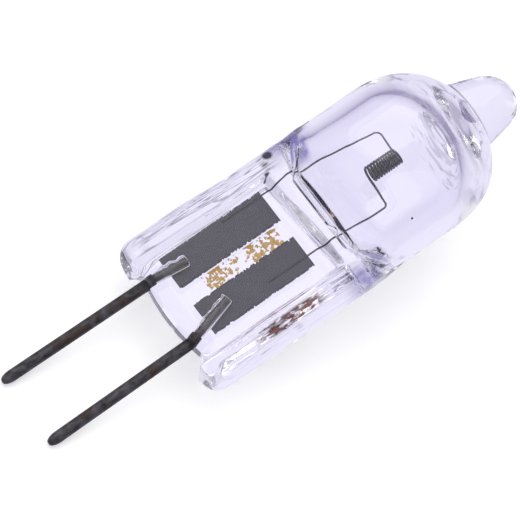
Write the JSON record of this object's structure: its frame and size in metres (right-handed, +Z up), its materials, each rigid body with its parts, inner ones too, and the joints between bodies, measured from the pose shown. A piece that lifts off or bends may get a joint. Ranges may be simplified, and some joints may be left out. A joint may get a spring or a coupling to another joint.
{
  "type": "halogen capsule bulb",
  "caption": "Pin-base capsule lamp: pressed quartz envelope with a sealed-off tip, sealing foils, contact pins and an axial coiled filament, lying on its side.",
  "frame": {"origin": "centre of the footprint at table level, with the lamp lying on its two pin ends and the underside of its bulb", "axes": "+X from the pins towards the exhaust tip, +Y across the pins from the right pin to the left pin, +Z up"},
  "size_m": [0.031, 0.0094, 0.0096],
  "materials": {
    "quartz_glass": "clear fused quartz with a faint lavender tint and flame-softened edges",
    "molybdenum_foil": "dull grey rolled foil, etched edges",
    "pin_metal": "dark drawn wire with brown heat staining",
    "tungsten_wire": "drawn and coiled, dull dark grey",
    "amber_print": "worn fired-on print in thin amber flecks"
  },
  "bodies": {
    "root": {"quartz_envelope": "quartz_glass", "foil_left": "molybdenum_foil", "foil_right": "molybdenum_foil", "contact_pin_left": "pin_metal", "contact_pin_right": "pin_metal", "filament": "tungsten_wire"}
  },
  "joints": []
}
